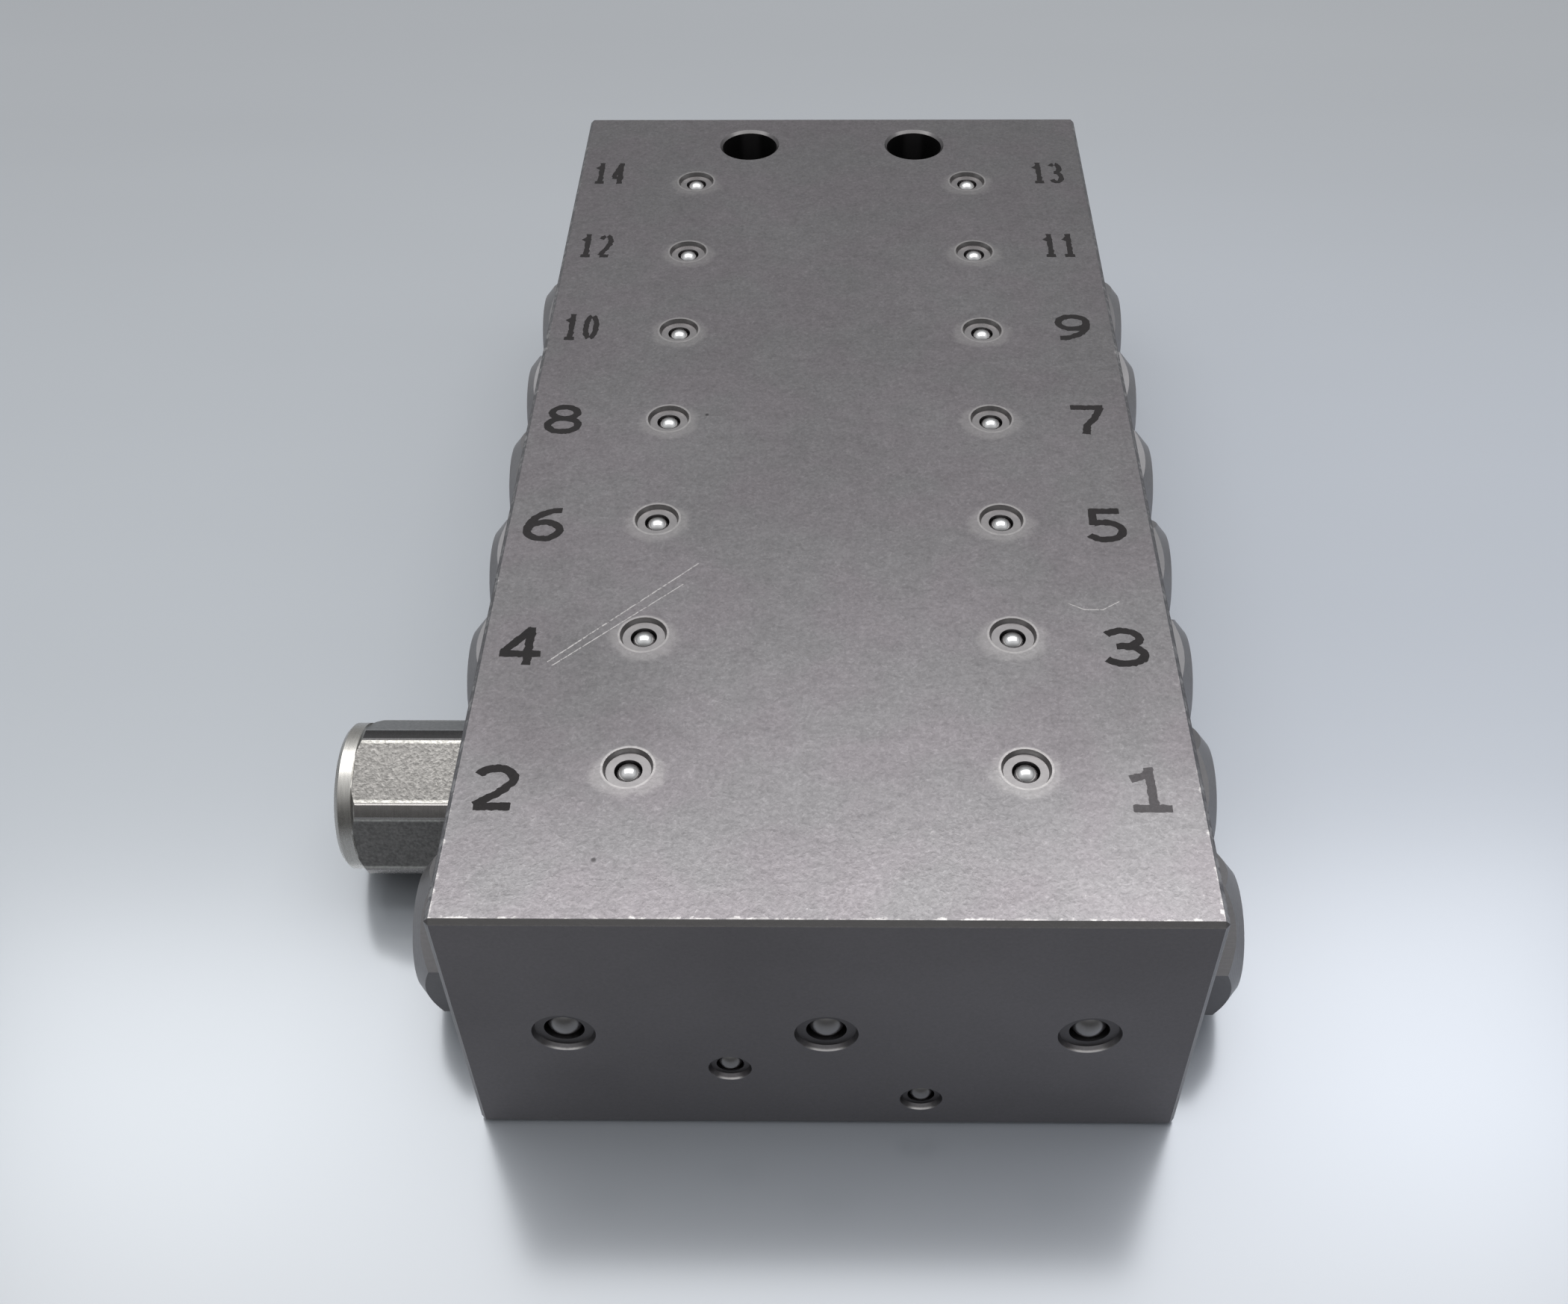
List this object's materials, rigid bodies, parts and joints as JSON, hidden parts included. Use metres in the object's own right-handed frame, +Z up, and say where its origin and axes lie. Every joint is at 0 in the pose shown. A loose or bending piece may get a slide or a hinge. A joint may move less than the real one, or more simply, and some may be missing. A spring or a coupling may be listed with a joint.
{
  "type": "progressive lubricant distributor block",
  "caption": "Cross-drilled steel distributor block: a row of sliding pistons behind hexagon plugs, ball-sealed channels, threaded outlets on both sides and an indicator pin housing.",
  "frame": {"origin": "centre of the flat underside that is bolted down", "axes": "+Z up, out of the numbered top face; +Y along the row of pistons, from the ball-sealed front end to the mounting holes and inlet; +X to the odd-numbered outlets"},
  "size_m": [0.0817, 0.12, 0.03],
  "materials": {
    "block_steel": "fine blasted grey, satin",
    "plug_steel": "plated, smooth",
    "housing_steel": "drawn flats, turned corners and collar",
    "ground_steel": "ground",
    "ball_steel": "polished",
    "washer_steel": "dull plated",
    "seal_rubber": "matt"
  },
  "bodies": {
    "block": {"channel_ball_1": "ball_steel", "channel_ball_10": "ball_steel", "channel_ball_11": "ball_steel", "channel_ball_12": "ball_steel", "channel_ball_13": "ball_steel", "channel_ball_14": "ball_steel", "channel_ball_2": "ball_steel", "channel_ball_3": "ball_steel", "channel_ball_4": "ball_steel", "channel_ball_5": "ball_steel", "channel_ball_6": "ball_steel", "channel_ball_7": "ball_steel", "channel_ball_8": "ball_steel", "channel_ball_9": "ball_steel", "gallery_ball_centre": "ball_steel", "gallery_ball_left": "ball_steel", "gallery_ball_right": "ball_steel", "indicator_housing": "housing_steel", "indicator_seal": "seal_rubber", "manifold_body": "block_steel", "piston_plug_1": "plug_steel", "piston_plug_10": "plug_steel", "piston_plug_11": "plug_steel", "piston_plug_12": "plug_steel", "piston_plug_13": "plug_steel", "piston_plug_14": "plug_steel", "piston_plug_2": "plug_steel", "piston_plug_3": "plug_steel", "piston_plug_5": "plug_steel", "piston_plug_6": "plug_steel", "piston_plug_7": "plug_steel", "piston_plug_8": "plug_steel", "piston_plug_9": "plug_steel", "plug_washer_1": "washer_steel", "plug_washer_10": "washer_steel", "plug_washer_11": "washer_steel", "plug_washer_12": "washer_steel", "plug_washer_13": "washer_steel", "plug_washer_14": "washer_steel", "plug_washer_2": "washer_steel", "plug_washer_3": "washer_steel", "plug_washer_4": "washer_steel", "plug_washer_5": "washer_steel", "plug_washer_6": "washer_steel", "plug_washer_7": "washer_steel", "plug_washer_8": "washer_steel", "plug_washer_9": "washer_steel", "small_ball_left": "ball_steel", "small_ball_right": "ball_steel"},
    "piston_1": {"piston_1": "ground_steel"},
    "piston_2": {"piston_2": "ground_steel", "indicator_pin": "ground_steel"},
    "piston_3": {"piston_3": "ground_steel"},
    "piston_4": {"piston_4": "ground_steel"},
    "piston_5": {"piston_5": "ground_steel"},
    "piston_6": {"piston_6": "ground_steel"},
    "piston_7": {"piston_7": "ground_steel"}
  },
  "joints": [
    {"name": "piston_1_slide", "type": "slide", "parent": "block", "child": "piston_1", "axis": [-1, 0, 0], "range_m": [0, 0.007]},
    {"name": "piston_2_slide", "type": "slide", "parent": "block", "child": "piston_2", "axis": [-1, 0, 0], "range_m": [0, 0.007]},
    {"name": "piston_3_slide", "type": "slide", "parent": "block", "child": "piston_3", "axis": [-1, 0, 0], "range_m": [0, 0.007]},
    {"name": "piston_4_slide", "type": "slide", "parent": "block", "child": "piston_4", "axis": [-1, 0, 0], "range_m": [0, 0.007]},
    {"name": "piston_5_slide", "type": "slide", "parent": "block", "child": "piston_5", "axis": [-1, 0, 0], "range_m": [0, 0.007]},
    {"name": "piston_6_slide", "type": "slide", "parent": "block", "child": "piston_6", "axis": [-1, 0, 0], "range_m": [0, 0.007]},
    {"name": "piston_7_slide", "type": "slide", "parent": "block", "child": "piston_7", "axis": [-1, 0, 0], "range_m": [0, 0.007]}
  ]
}
